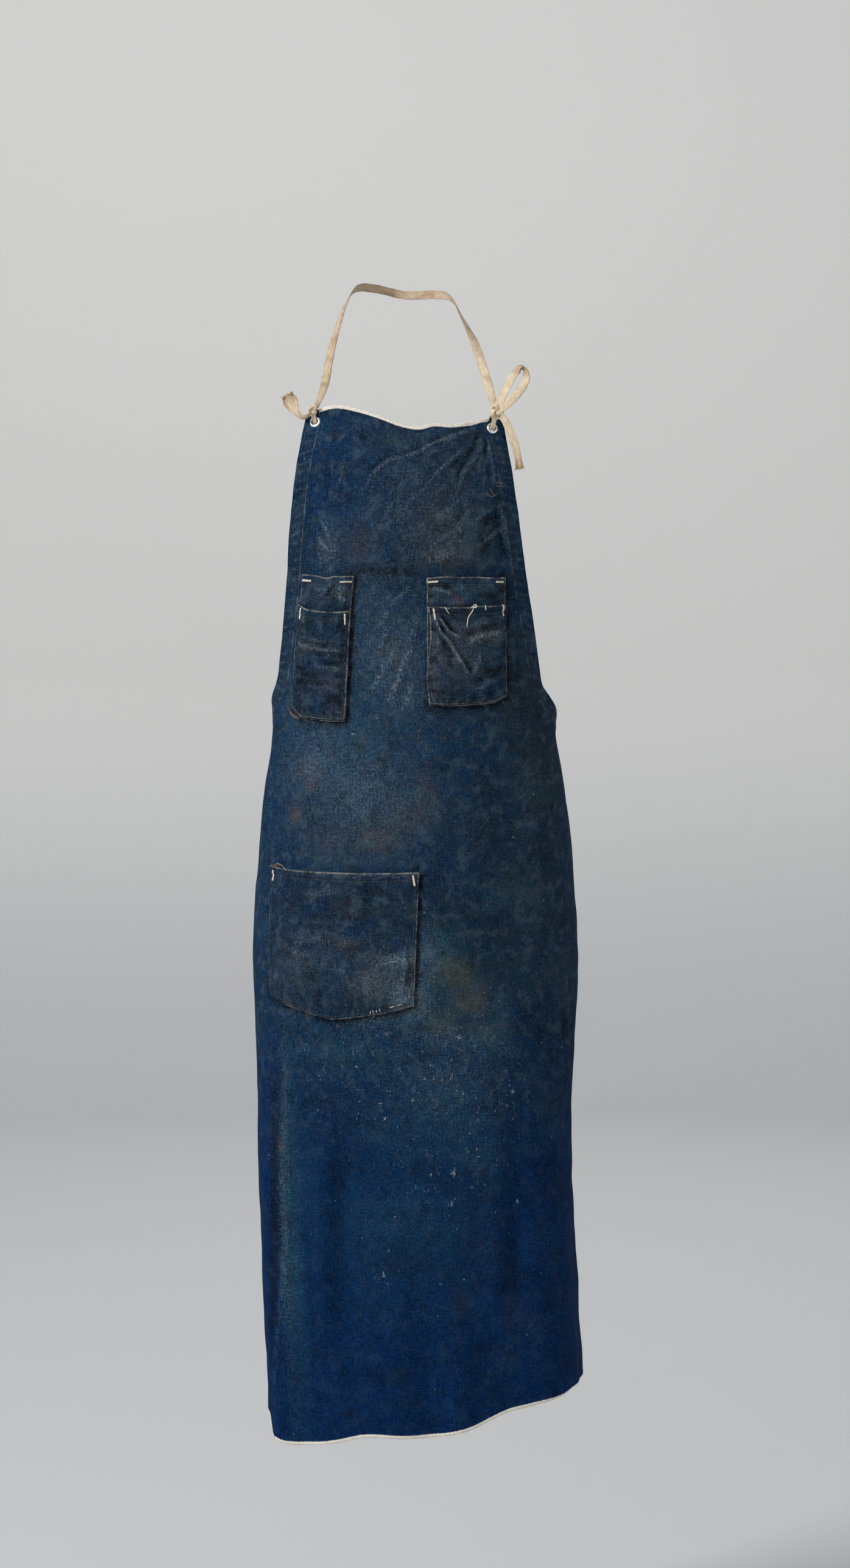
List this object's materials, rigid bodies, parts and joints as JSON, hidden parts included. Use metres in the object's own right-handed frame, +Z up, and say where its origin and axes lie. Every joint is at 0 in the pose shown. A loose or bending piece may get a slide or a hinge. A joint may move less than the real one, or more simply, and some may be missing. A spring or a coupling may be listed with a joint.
{
  "type": "denim bib apron",
  "caption": "Long worn denim bib apron that wraps the hips, with layered patch pockets, metal eyelets and a cotton tape tied round the neck.",
  "frame": {"origin": "where the inner face of the neck tape rests on the wearer's nape, in the middle of the tape's width", "axes": "+X to the right as seen from the front, +Y back through the wearer, +Z up"},
  "size_m": [0.3943, 0.2316, 1.3705],
  "materials": {
    "denim": "worn indigo twill, faded and stained, bare cream selvedge",
    "pocket_denim": "worn indigo twill with a brown cast, pale along its creases",
    "cotton_tape": "unbleached cotton tape, creased and soiled",
    "eyelet_metal": "pressed white metal, lightly dulled"
  },
  "bodies": {
    "root": {"apron_panel": "denim", "pen_pocket_back": "pocket_denim", "pen_pocket_front": "pocket_denim", "chest_pocket_back": "pocket_denim", "chest_pocket_front": "pocket_denim", "hand_pocket": "pocket_denim", "eyelet_left": "eyelet_metal", "eyelet_right": "eyelet_metal", "neck_tape": "cotton_tape"}
  },
  "joints": []
}
